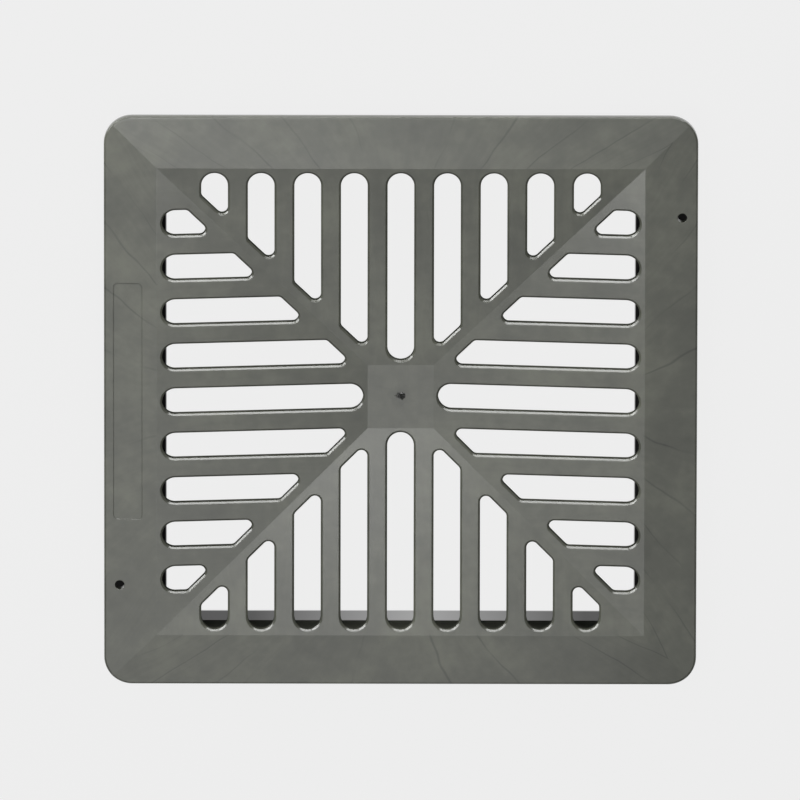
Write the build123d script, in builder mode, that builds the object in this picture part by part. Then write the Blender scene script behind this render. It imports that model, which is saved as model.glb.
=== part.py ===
"""Square dished grate for a gully trap, moulded in one piece from grey plastic.

Frame: origin under the middle of the grate on the plane of the skirt's foot, +Z up.
Millimetres.
"""

import os
from math import radians, sqrt, tan

from build123d import *

# Plan of the grate
outer_side = 250.0
corner_radius = 12.0
border_width = 22.2
centre_pad_side = 27.8

# Heights and walls
grate_height = 22.0
border_fall = 1.6
lip_edge_thickness = 3.0
dish_depth = 8.5
plate_thickness = 3.5
rim_edge_radius = 1.0

# Locating skirt that drops into the trap's mouth
skirt_set_out = 0.2
skirt_thickness = 3.0
skirt_draft_angle = 1.0
skirt_corner_radius = 6.0
skirt_lead_in = 0.8

# Slots of the dished field
slot_pitch = 19.6
slot_width = 11.2
slot_end_margin = 2.3
slot_corner_radius = 2.5
slot_edge_break = 0.8
diagonal_bar_width = 8.4
pad_land = 1.9

# Screw holes through the lip, one on each of two opposite sides
screw_hole_diameter = 4.0
screw_hole_edge_distance = 6.6
screw_hole_offset = 81.0

# Bare insert panel on the left border, and the gate mark on the centre pad
panel_width = 12.1
panel_length = 104.0
panel_corner_radius = 2.0
panel_depth = 0.25
panel_edge_distance = 10.0
gate_mark_diameter = 2.2
gate_mark_depth = 0.6
gate_mark_draft_angle = 30.0

# Levels and reaches that follow from the sizes above
outer_half = outer_side / 2
ridge_half = outer_half - border_width
pad_half = centre_pad_side / 2
skirt_inner = ridge_half + skirt_set_out
skirt_outer = skirt_inner + skirt_thickness
edge_level = grate_height - border_fall
lip_level = edge_level - lip_edge_thickness
pad_level = grate_height - dish_depth
pad_under_level = pad_level - plate_thickness
plate_root_level = grate_height - plate_thickness + skirt_set_out * dish_depth / (ridge_half - pad_half)

# A square grate has four like sides, mitred at half a right angle
side_count = 4
mitre_angle = 45.0
touching = 0.01


def reach(shape):
    """How far a shape's centre stands out from the middle of the square plan."""
    return max(abs(shape.center().X), abs(shape.center().Y))


# One of the four sides: the grate's half section, drawn outwards from the middle
with BuildPart() as side:
    with BuildSketch(Plane.XZ):
        with BuildLine():
            Polyline(
                (0, pad_level),
                (pad_half, pad_level),
                (ridge_half, grate_height),
                (outer_half, edge_level),
                (outer_half, lip_level),
                (skirt_inner, lip_level),
                (skirt_inner, plate_root_level),
                (pad_half, pad_under_level),
                (0, pad_under_level),
                close=True,
            )
        make_face()
    extrude(amount=outer_half, both=True)

    # Round the plan's corners, and mitre the side along both diagonals
    with BuildSketch(Plane.XY):
        RectangleRounded(outer_side, outer_side, corner_radius)
        outer_corners = (outer_half, -outer_half), (outer_half, outer_half)
        Polygon((0, 0), *outer_corners, align=None, mode=Mode.INTERSECT)
    extrude(amount=grate_height, mode=Mode.INTERSECT)

    # Rounded upper edge of the lip
    upright_faces = side.faces().filter_by(lambda face: abs(face.normal_at().Z) < touching)
    lip_walls = upright_faces.filter_by(lambda face: reach(face) > skirt_outer)
    rim_edges = lip_walls.edges().filter_by(lambda edge: abs(edge.center().Z - edge_level) < rim_edge_radius)
    fillet(rim_edges, rim_edge_radius)

    # Slots run outwards from the diagonal bars to round ends just inside the ridge
    slot_end = ridge_half - slot_end_margin
    round_centre = slot_end - slot_width / 2
    bar_inset = diagonal_bar_width / sqrt(2)
    corner_run = slot_corner_radius * tan(radians(mitre_angle / 2))
    slots_beside_middle = int((round_centre - slot_width / 2 - bar_inset - corner_run) / slot_pitch)
    middle_start = pad_half + pad_land
    with BuildSketch(Plane.XY):
        for number in range(1, slots_beside_middle + 1):
            centre = number * slot_pitch
            near = centre - slot_width / 2
            far = centre + slot_width / 2
            with BuildLine():
                FilletPolyline(
                    (round_centre, near),
                    (near + bar_inset, near),
                    (far + bar_inset, far),
                    (round_centre, far),
                    radius=slot_corner_radius,
                )
                ThreePointArc((round_centre, far), (slot_end, centre), (round_centre, near))
            make_face()
        mirror(about=Plane.XZ)
        with Locations(((middle_start + slot_end) / 2, 0)):
            SlotOverall(slot_end - middle_start, slot_width)
    extrude(amount=grate_height, mode=Mode.SUBTRACT)

    # Broken upper edges of the slots
    upper_faces = side.faces().filter_by(lambda face: face.normal_at().Z > touching)
    dish_face = upper_faces.sort_by(lambda face: len(face.inner_wires()))[-1]
    chamfer(dish_face.inner_wires().edges(), slot_edge_break)

# Skirt: a square tube with round corners, drafted outside and led in at its foot
with BuildPart() as skirt:
    with BuildSketch(Plane.XY.offset(lip_level)) as skirt_plan:
        RectangleRounded(2 * skirt_outer, 2 * skirt_outer, skirt_corner_radius)
    extrude(amount=-lip_level)
    skirt_walls = skirt.faces().filter_by(lambda face: abs(face.normal_at().Z) < touching)
    draft(skirt_walls, Plane((0, 0, lip_level), z_dir=(0, 0, -1)), skirt_draft_angle)
    chamfer(skirt.faces().sort_by(Axis.Z)[0].edges(), skirt_lead_in)
    extrude(skirt_plan.sketch, amount=plate_root_level - lip_level)
    with BuildSketch(Plane.XY):
        RectangleRounded(2 * skirt_inner, 2 * skirt_inner, skirt_corner_radius - skirt_thickness)
    extrude(amount=plate_root_level, mode=Mode.SUBTRACT)

# The whole grate: four mitred sides and the skirt in one moulding
with BuildPart() as grate:
    with PolarLocations(0, side_count):
        add(side.part)
    add(skirt.part)

    # Screw holes
    hole_reach = outer_half - screw_hole_edge_distance
    with Locations((hole_reach, screw_hole_offset, 0), (-hole_reach, -screw_hole_offset, 0)):
        Hole(screw_hole_diameter / 2)

    # Bare panel, sunk square to the sloping border
    border_slope = border_fall / border_width
    panel_place = (panel_edge_distance - outer_half, 0, edge_level + panel_edge_distance * border_slope)
    panel_plane = Plane(origin=panel_place, x_dir=(0, 1, 0), z_dir=(-border_slope, 0, 1))
    with BuildSketch(panel_plane):
        RectangleRounded(panel_length, panel_width, panel_corner_radius)
    extrude(amount=-panel_depth, mode=Mode.SUBTRACT)

    # Gate mark
    with BuildSketch(Plane.XY.offset(pad_level)):
        Circle(gate_mark_diameter / 2)
    extrude(amount=-gate_mark_depth, taper=gate_mark_draft_angle, mode=Mode.SUBTRACT)

grate.part.label = "grate"
os.makedirs("parts", exist_ok=True)
export_step(grate.part, "parts/grate.step")
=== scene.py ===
from math import pi, radians

import bpy
from mathutils import Matrix, Vector

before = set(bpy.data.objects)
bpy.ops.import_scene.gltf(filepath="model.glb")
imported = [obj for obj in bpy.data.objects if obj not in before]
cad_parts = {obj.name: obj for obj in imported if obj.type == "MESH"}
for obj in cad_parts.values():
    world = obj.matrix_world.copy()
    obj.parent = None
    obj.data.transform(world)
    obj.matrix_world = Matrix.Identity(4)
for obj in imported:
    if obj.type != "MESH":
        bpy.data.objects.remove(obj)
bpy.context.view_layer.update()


# The grate: a square dished grate moulded in one piece, with 36 slots, a sloping border and a skirt.
# It is polypropylene, filled and coloured grey in the melt, injected through one gate in the middle.
# The slots, edges, screw holes and the bare panel are in the moulding itself.
def linear(hex_colour):
    """An sRGB hex colour as linear red, green, blue and a full alpha."""
    parts = [int(hex_colour[i:i + 2], 16) / 255 for i in (0, 2, 4)]
    return [p / 12.92 if p <= 0.04045 else ((p + 0.055) / 1.055) ** 2.4 for p in parts] + [1.0]


def add_node(owner, kind, inputs=(), **settings):
    """A node with its settings. Each input, named or numbered, takes a value, a node or a socket."""
    node = owner.node_tree.nodes.new(kind)
    for name, value in settings.items():
        setattr(node, name, value)
    for key, value in dict(inputs).items():
        if isinstance(value, bpy.types.Node):
            value = value.outputs[0]
        if isinstance(value, bpy.types.NodeSocket):
            owner.node_tree.links.new(value, node.inputs[key])
        else:
            node.inputs[key].default_value = value
    return node


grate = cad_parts["grate"]
ridge_half = 0.1028
slot_pitch = 0.0196

# Polypropylene moulded against a smooth steel tool: a dark warm grey under a thin glossy skin.
# The eye sees soft sheen on each facet, bright lines on the edges, and faint flow marks.
plastic = bpy.data.materials.new("moulded_grey_polypropylene")
plastic.use_nodes = True

# Where a point lies: out from the middle, along its own side, and on the border or not
border_start = ridge_half - 0.0008
border_full = ridge_half + 0.0012
place = add_node(plastic, "ShaderNodeTexCoord").outputs["Object"]
axes = add_node(plastic, "ShaderNodeSeparateXYZ", {0: place})
reach_x = add_node(plastic, "ShaderNodeMath", {0: axes.outputs["X"]}, operation="ABSOLUTE")
reach_y = add_node(plastic, "ShaderNodeMath", {0: axes.outputs["Y"]}, operation="ABSOLUTE")
reach_out = add_node(plastic, "ShaderNodeMath", {0: reach_x, 1: reach_y}, operation="MAXIMUM")
reach_along = add_node(plastic, "ShaderNodeMath", {0: reach_x, 1: reach_y}, operation="MINIMUM")
on_border = add_node(plastic, "ShaderNodeMapRange", {
    "Value": reach_out, "From Min": border_start, "From Max": border_full})

# Weld lines, 0.6 mm wide: the melt parts round each slot, meets again past its end and fans to the
# rim. They sway, and show in some places only.
weld_width = 0.0006
weld_fan = 2.0
weld_sway = 0.011
sway_length = 0.030
weld_patch = 0.035
weld_lost, weld_clear = 0.42, 0.62
sway = add_node(plastic, "ShaderNodeTexNoise", {
    "Vector": place, "Scale": 1 / sway_length, "Detail": 2.0})
swayed = add_node(
    plastic, "ShaderNodeMath", {0: sway, 1: weld_sway, 2: reach_along}, operation="MULTIPLY_ADD")
past_ridge = add_node(plastic, "ShaderNodeMath", {0: reach_out, 1: ridge_half}, operation="SUBTRACT")
past_ridge = add_node(plastic, "ShaderNodeMath", {0: past_ridge, 1: 0.0}, operation="MAXIMUM")
fanned = add_node(
    plastic, "ShaderNodeMath", {0: past_ridge, 1: weld_fan / ridge_half, 2: 1.0},
    operation="MULTIPLY_ADD")
from_slot = add_node(plastic, "ShaderNodeMath", {0: swayed, 1: fanned}, operation="DIVIDE")
in_pitches = add_node(plastic, "ShaderNodeMath", {0: from_slot, 1: slot_pitch}, operation="DIVIDE")
off_weld = add_node(plastic, "ShaderNodeMath", {0: in_pitches, 1: 0.5}, operation="PINGPONG")
weld_line = add_node(plastic, "ShaderNodeMapRange", {
    "Value": off_weld, "From Min": 0.0, "From Max": weld_width / slot_pitch,
    "To Min": 1.0, "To Max": 0.0})
weld_depth = add_node(plastic, "ShaderNodeTexNoise", {
    "Vector": place, "Scale": 1 / weld_patch, "Detail": 1.0})
weld_shown = add_node(plastic, "ShaderNodeMapRange", {
    "Value": weld_depth, "From Min": weld_lost, "From Max": weld_clear})
weld = add_node(plastic, "ShaderNodeMath", {0: weld_line, 1: weld_shown}, operation="MULTIPLY")
weld = add_node(plastic, "ShaderNodeMath", {0: weld, 1: on_border}, operation="MULTIPLY")

# Flow streaks, about 2 mm wide and 40 mm long, along the bars and out over the border.
# Each of the four sides has its own.
streak_width = 0.002
streak_length = 0.040
side_change = 0.060
side_to_side = add_node(
    plastic, "ShaderNodeMath", {0: axes.outputs["X"], 1: axes.outputs["Y"]}, operation="SUBTRACT")
flow_across = add_node(
    plastic, "ShaderNodeMath", {0: from_slot, 1: 1 / streak_width}, operation="MULTIPLY")
flow_along = add_node(
    plastic, "ShaderNodeMath", {0: reach_out, 1: 1 / streak_length}, operation="MULTIPLY")
flow_side = add_node(
    plastic, "ShaderNodeMath", {0: side_to_side, 1: 1 / side_change}, operation="MULTIPLY")
flow_place = add_node(
    plastic, "ShaderNodeCombineXYZ", {0: flow_across, 1: flow_along, 2: flow_side})
streaks = add_node(plastic, "ShaderNodeTexNoise", {
    "Vector": flow_place, "Scale": 1.0, "Detail": 3.0})

# Clouds of filler, 30 mm across, and mottle, 6 mm across
cloud_size = 0.030
mottle_size = 0.006
clouds = add_node(plastic, "ShaderNodeTexNoise", {
    "Vector": place, "Scale": 1 / cloud_size, "Detail": 3.0})
mottle = add_node(plastic, "ShaderNodeTexNoise", {
    "Vector": place, "Scale": 1 / mottle_size, "Detail": 3.0})

# Gate: a torn dark pit in the middle of the pad, with burnt melt smeared round it.
# Its ragged edge adds about 3 mm to a reach from the middle, and the four reaches below count that in.
tear_size = 0.0025
gate_raggedness = 0.006
smear_start, smear_end = 0.003, 0.0085
pit_start, pit_end = 0.0038, 0.0048
tear_height = 0.0012
tear_lean = 0.7
from_gate = add_node(
    plastic, "ShaderNodeVectorMath", {0: place, 1: (1.0, 1.0, 0.0)}, operation="MULTIPLY")
gate_reach = add_node(
    plastic, "ShaderNodeVectorMath", {0: from_gate}, operation="LENGTH").outputs["Value"]
gate_ragged = add_node(plastic, "ShaderNodeTexNoise", {
    "Vector": place, "Scale": 1 / tear_size, "Detail": 3.0})
gate_edge = add_node(
    plastic, "ShaderNodeMath", {0: gate_ragged, 1: gate_raggedness, 2: gate_reach},
    operation="MULTIPLY_ADD")
gate_smear = add_node(plastic, "ShaderNodeMapRange", {
    "Value": gate_edge, "From Min": smear_start, "From Max": smear_end, "To Min": 1.0, "To Max": 0.0})
gate_pit = add_node(plastic, "ShaderNodeMapRange", {
    "Value": gate_edge, "From Min": pit_start, "From Max": pit_end, "To Min": 1.0, "To Max": 0.0})
torn = add_node(plastic, "ShaderNodeMath", {0: gate_ragged, 1: tear_height}, operation="MULTIPLY")
torn = add_node(
    plastic, "ShaderNodeMath", {0: axes.outputs["X"], 1: tear_lean, 2: torn},
    operation="MULTIPLY_ADD")
torn = add_node(plastic, "ShaderNodeMath", {0: torn, 1: gate_pit}, operation="MULTIPLY")

# The grey lightens and darkens a little with all of these
cloud_share = 0.9
tone = add_node(plastic, "ShaderNodeMath", {0: clouds, 1: cloud_share}, operation="MULTIPLY")
for pattern, share in (
    (mottle, 0.45),
    (streaks, 0.18),
    (weld, -0.42),
    (gate_smear, -0.45),
    (gate_pit, -0.9),
):
    tone = add_node(
        plastic, "ShaderNodeMath", {0: pattern, 1: share, 2: tone}, operation="MULTIPLY_ADD")
grey = add_node(plastic, "ShaderNodeValToRGB", {0: tone})
usual_tone = 0.75
grey.color_ramp.elements[0].color = linear("1e1f1c")
grey.color_ramp.elements[1].color = linear("5e6055")
grey.color_ramp.elements.new(usual_tone).color = linear("4f5148")

# The skin's gloss is cloudy too, and the torn gate is dull
least_cloud, most_cloud = 0.3, 0.7
least_rough, most_rough = 0.32, 0.44
torn_rough = 0.5
gloss = add_node(plastic, "ShaderNodeMapRange", {
    "Value": clouds, "From Min": least_cloud, "From Max": most_cloud,
    "To Min": least_rough, "To Max": most_rough})
gloss = add_node(
    plastic, "ShaderNodeMath", {0: gate_pit, 1: torn_rough, 2: gloss}, operation="MULTIPLY_ADD")

# Surface: a sink groove over the skirt, shallow waves, the flow marks and the torn gate, and a fine
# grain drawn 0.8 mm wide so that it shows. Edges look 0.4 mm round.
sink_reach = 0.1062
sink_half_width = 0.003
sink_depth = 0.000008
wave_length = 0.022
grain_size = 0.0008
edge_radius = 0.0004
sink = add_node(plastic, "ShaderNodeMath", {0: reach_out, 1: sink_reach}, operation="SUBTRACT")
sink = add_node(plastic, "ShaderNodeMath", {0: sink}, operation="ABSOLUTE")
relief = add_node(plastic, "ShaderNodeMapRange", {
    "Value": sink, "From Min": 0.0, "From Max": sink_half_width,
    "To Min": -sink_depth, "To Max": 0.0}, interpolation_type="SMOOTHSTEP")
waves = add_node(plastic, "ShaderNodeTexNoise", {
    "Vector": place, "Scale": 1 / wave_length, "Detail": 2.0})
grain = add_node(plastic, "ShaderNodeTexNoise", {
    "Vector": place, "Scale": 1 / grain_size, "Detail": 1.0})
for pattern, height in (
    (waves, 0.000045),
    (grain, 0.0000012),
    (streaks, 0.000005),
    (weld, -0.00001),
    (torn, 1.0),
):
    relief = add_node(
        plastic, "ShaderNodeMath", {0: pattern, 1: height, 2: relief}, operation="MULTIPLY_ADD")
rounded = add_node(plastic, "ShaderNodeBevel", {"Radius": edge_radius}, samples=6)
skin = add_node(plastic, "ShaderNodeBump", {
    "Height": relief, "Normal": rounded, "Strength": 1.0, "Distance": 1.0})

refraction = 1.49
shader = plastic.node_tree.nodes["Principled BSDF"]
shader.inputs["IOR"].default_value = refraction
shader.inputs["Coat Weight"].default_value = 1.0
shader.inputs["Coat Roughness"].default_value = 0.18
shader.inputs["Coat IOR"].default_value = refraction
for source, socket in (
    (grey, "Base Color"),
    (gloss, "Roughness"),
    (skin, "Normal"),
    (skin, "Coat Normal"),
):
    plastic.node_tree.links.new(source.outputs[0], shader.inputs[socket])
grate.material_slots[0].material = plastic


# The floor: a plain pale table, white to the camera except for painted shade where the grate
# shades it: under the lip, and along the inside of the skirt. So the screw holes and the outer
# ends of the slots look down on the dark.
floor_half = 8.0
floor_level = -0.0002
corners = ((-1, -1), (1, -1), (1, 1), (-1, 1))
floor_mesh = bpy.data.meshes.new("floor")
floor_mesh.from_pydata(
    [(x * floor_half, y * floor_half, floor_level) for x, y in corners], [], [range(len(corners))])
floor = bpy.data.objects.new("floor", floor_mesh)
bpy.context.scene.collection.objects.link(floor)

# Matt paint: an even white without any mirror image, and soft where the painted shade ends
table = bpy.data.materials.new("matt_table_painted_shade")
table.use_nodes = True

# The middle of the floor shows white through the slots, out to a line inside the skirt.
# Past that line the floor is painted shade.
white_end = 0.0985
dark_start = 0.0991
slot_white = 0.936
ground = add_node(table, "ShaderNodeTexCoord").outputs["Object"]
ground_axes = add_node(table, "ShaderNodeSeparateXYZ", {0: ground})
aside = add_node(table, "ShaderNodeMath", {0: ground_axes.outputs["X"]}, operation="ABSOLUTE")
ahead = add_node(table, "ShaderNodeMath", {0: ground_axes.outputs["Y"]}, operation="ABSOLUTE")
from_middle = add_node(table, "ShaderNodeMath", {0: aside, 1: ahead}, operation="MAXIMUM")
under_slots = add_node(table, "ShaderNodeMapRange", {
    "Value": from_middle, "From Min": white_end, "From Max": dark_start,
    "To Min": slot_white, "To Max": 0.0})

# The lip's painted shade has the lip's round corners, and lies a little to the picture's bottom
lip_half = 0.125
lip_round = 0.012
straight_half = lip_half - lip_round
shade_shift = 0.0053
shade_fades, shade_ends = 0.0074, 0.0124
open_white = 0.92
shade = add_node(
    table, "ShaderNodeVectorMath", {0: ground, 1: (0.0, shade_shift, 0.0)}, operation="ADD")
shade = add_node(table, "ShaderNodeVectorMath", {0: shade}, operation="ABSOLUTE")
shade = add_node(
    table, "ShaderNodeVectorMath", {0: shade, 1: (straight_half, straight_half, 1.0)},
    operation="SUBTRACT")
shade = add_node(table, "ShaderNodeVectorMath", {0: shade, 1: (0.0, 0.0, 0.0)}, operation="MAXIMUM")
shade = add_node(table, "ShaderNodeVectorMath", {0: shade}, operation="LENGTH").outputs["Value"]
past_lip = add_node(table, "ShaderNodeMapRange", {
    "Value": shade, "From Min": shade_fades, "From Max": shade_ends,
    "To Min": 0.0, "To Max": open_white}, interpolation_type="SMOOTHSTEP")

# Painted light on the strip inside the skirt at the bottom of the picture, most of it in the middle
strip_middle = 0.008
strip_half = 0.07
strip_bright, strip_dim = 0.4, 0.11
skirt_reach = 0.1045
off_middle = add_node(
    table, "ShaderNodeMath", {0: ground_axes.outputs["X"], 1: strip_middle}, operation="SUBTRACT")
off_middle = add_node(table, "ShaderNodeMath", {0: off_middle}, operation="ABSOLUTE")
strip = add_node(table, "ShaderNodeMapRange", {
    "Value": off_middle, "From Min": 0.0, "From Max": strip_half,
    "To Min": strip_bright, "To Max": strip_dim})
at_bottom = add_node(
    table, "ShaderNodeMath", {0: ground_axes.outputs["Y"], 1: -white_end}, operation="LESS_THAN")
in_skirt = add_node(table, "ShaderNodeMath", {0: from_middle, 1: skirt_reach}, operation="LESS_THAN")
strip = add_node(table, "ShaderNodeMath", {0: strip, 1: at_bottom}, operation="MULTIPLY")
strip = add_node(table, "ShaderNodeMath", {0: strip, 1: in_skirt}, operation="MULTIPLY")

# The camera sees all of that white, and the plastic's skin mirrors only what lies past the lip
ray = add_node(table, "ShaderNodeLightPath").outputs
seen = add_node(table, "ShaderNodeMath", {0: under_slots, 1: past_lip}, operation="ADD")
seen = add_node(table, "ShaderNodeMath", {0: seen, 1: strip}, operation="MAXIMUM")
seen = add_node(table, "ShaderNodeMath", {0: seen, 1: ray["Is Camera Ray"]}, operation="MULTIPLY")
mirrored = add_node(
    table, "ShaderNodeMath", {0: past_lip, 1: ray["Is Glossy Ray"]}, operation="MULTIPLY")
white_share = add_node(table, "ShaderNodeMath", {0: seen, 1: mirrored}, operation="MAXIMUM")
# Painted shade: the floor's paint is near black under the lip and the grate, and pale grey past the
# lip
painted_shade_grey = add_node(table, "ShaderNodeValToRGB", {0: past_lip})
painted_shade_grey.color_ramp.elements[0].color = linear("121212")
painted_shade_grey.color_ramp.elements[1].position = open_white
painted_shade_grey.color_ramp.elements[1].color = linear("8c8c8c")
paint = table.node_tree.nodes["Principled BSDF"]
paint.inputs["Roughness"].default_value = 0.9
table.node_tree.links.new(painted_shade_grey.outputs[0], paint.inputs["Base Color"])
glow = add_node(table, "ShaderNodeEmission", {"Color": linear("f4f4f4")})
blend = add_node(table, "ShaderNodeMixShader", {0: white_share, 1: paint, 2: glow})
table_output = table.node_tree.nodes["Material Output"]
table.node_tree.links.new(blend.outputs[0], table_output.inputs["Surface"])
floor_mesh.materials.append(table)


# Studio light: a key soft box from the top left of the picture, a fill panel low over its bottom, and
# three small lamps that lift the dish, the pad and the left corners. Two low strip boxes draw the
# bright lines along the slot edges. A row has place, width, height and the light on a white floor.
for name, spot, width, height, level in (
    ("key_soft_box", (-0.176, 0.206, 0.925), 0.38, 0.38, 0.2),
    ("overhead_lamp", (-0.027, -0.09, 0.767), 0.12, 0.12, 0.025),
    ("pad_lamp", (0.02, -0.44, 1.43), 0.2, 0.2, 0.005),
    ("corner_lamp", (-0.175, -0.025, 0.42), 0.1, 0.1, 0.004),
    ("fill_panel", (-0.089, -0.264, 0.33), 0.37, 0.37, 0.106),
    ("top_strip_box", (0.133, 0.947, 0.292), 1.1, 0.15, 0.16),
    ("left_strip_box", (-0.743, 0.624, 0.242), 0.8, 0.15, 0.125),
):
    spot = Vector(spot)
    facing_middle = spot.to_track_quat("Z", "Y").to_matrix().to_4x4()
    light = bpy.data.lights.new(name, "AREA")
    light.shape = "RECTANGLE"
    light.size = width
    light.size_y = height
    light.energy = level * pi ** 2 * spot.length ** 3 / spot.z
    lamp = bpy.data.objects.new(name, light)
    lamp.matrix_world = Matrix.Translation(spot) @ facing_middle
    bpy.context.scene.collection.objects.link(lamp)

# The room: a pale ceiling, brightest towards the top of the picture, over dark walls
bright_way = (-0.163, 0.604, 1.0)
bright_start, bright_full = 0.461, 0.707
wall_top, ceiling_edge = 0.4, 0.8
ceiling_level = 0.57
wall_level = 0.053
room = bpy.data.worlds.new("pale_ceiling")
room.use_nodes = True
outlook = add_node(room, "ShaderNodeTexCoord").outputs["Generated"]
leaning = add_node(room, "ShaderNodeVectorMath", {0: outlook, 1: bright_way}, operation="DOT_PRODUCT")
bright_side = add_node(room, "ShaderNodeMapRange", {
    "Value": leaning.outputs["Value"], "From Min": bright_start, "From Max": bright_full})
upward = add_node(room, "ShaderNodeSeparateXYZ", {0: outlook})
overhead = add_node(room, "ShaderNodeMapRange", {
    "Value": upward.outputs["Z"], "From Min": wall_top, "From Max": ceiling_edge})
ceiling = add_node(room, "ShaderNodeMath", {0: bright_side, 1: overhead}, operation="MULTIPLY")
ceiling = add_node(
    room, "ShaderNodeMath", {0: ceiling, 1: ceiling_level, 2: wall_level}, operation="MULTIPLY_ADD")
room_light = room.node_tree.nodes["Background"]
room_light.inputs["Color"].default_value = linear("ffffff")
room.node_tree.links.new(ceiling.outputs[0], room_light.inputs["Strength"])
bpy.context.scene.world = room


# The camera: a long lens from far off, so that the sides of the square look parallel.
# It is tilted a little from straight above towards the top of the picture.
tilt = radians(17.0)
roll = radians(0.1)
lens = 1.5
sensor = 0.036
picture_width = 0.3371
camera_far = Vector((0, 0, picture_width * lens / sensor))
aim = Vector((-0.00025, 0.00065, 0.0204))
mm_per_metre = 1000
camera_data = bpy.data.cameras.new("camera")
camera_data.sensor_width = sensor * mm_per_metre
camera_data.lens = lens * mm_per_metre
camera_data.clip_end = 30.0
camera = bpy.data.objects.new("camera", camera_data)
turn = Matrix.Rotation(-tilt, 4, "X") @ Matrix.Rotation(roll, 4, "Z")
camera.matrix_world = Matrix.Translation(aim + turn @ camera_far) @ turn
bpy.context.scene.collection.objects.link(camera)
bpy.context.scene.camera = camera

bpy.context.scene.view_settings.view_transform = "Standard"
